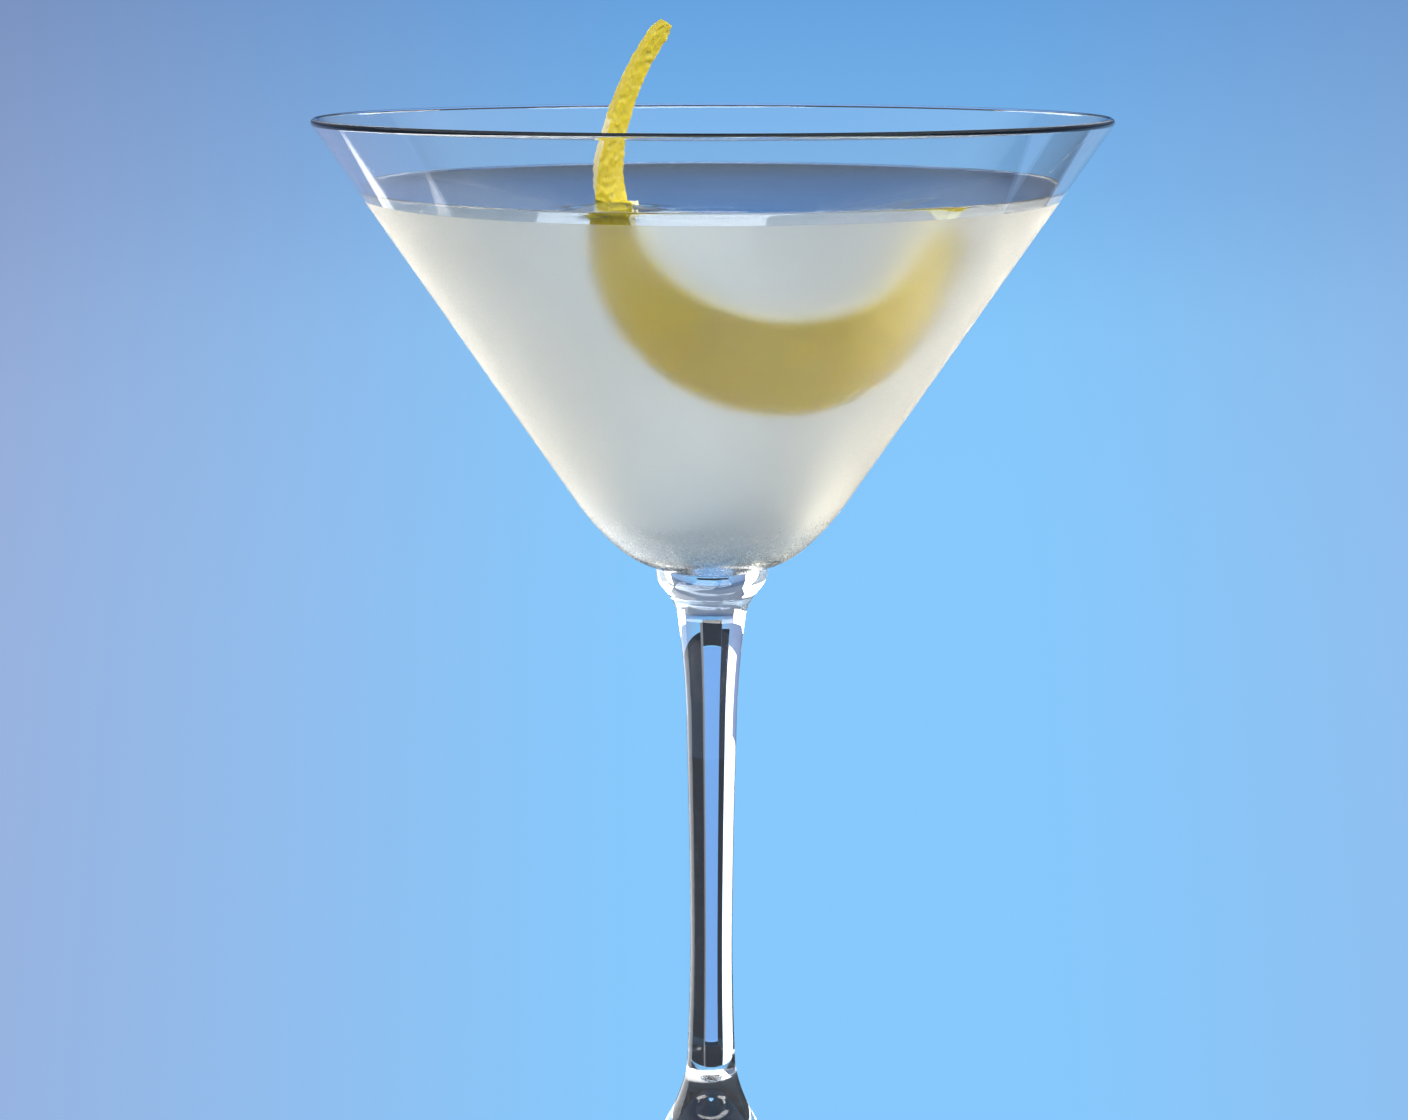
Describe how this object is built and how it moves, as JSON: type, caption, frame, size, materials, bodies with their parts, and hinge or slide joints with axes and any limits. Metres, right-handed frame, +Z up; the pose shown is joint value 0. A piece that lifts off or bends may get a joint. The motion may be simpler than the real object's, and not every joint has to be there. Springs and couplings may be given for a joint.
{
  "type": "martini cocktail",
  "caption": "Martini cocktail in a V-shaped stemmed glass, clear chilled drink with a long curved twist of lemon peel.",
  "frame": {"origin": "middle of the foot, on the plane the foot's ring rests on", "axes": "+Z up along the stem, front towards -Y, the peel stands out of the drink at the front, to the left (-X)"},
  "size_m": [0.116, 0.116, 0.2073],
  "materials": {
    "clear_glass": "polished above the drink, misted where the drink chills it",
    "drink": "clear liquid",
    "lemon_peel": "waxy zest outside, creamy pith inside"
  },
  "bodies": {
    "root": {"glass": "clear_glass", "drink": "drink", "lemon_twist": "lemon_peel"}
  },
  "joints": []
}
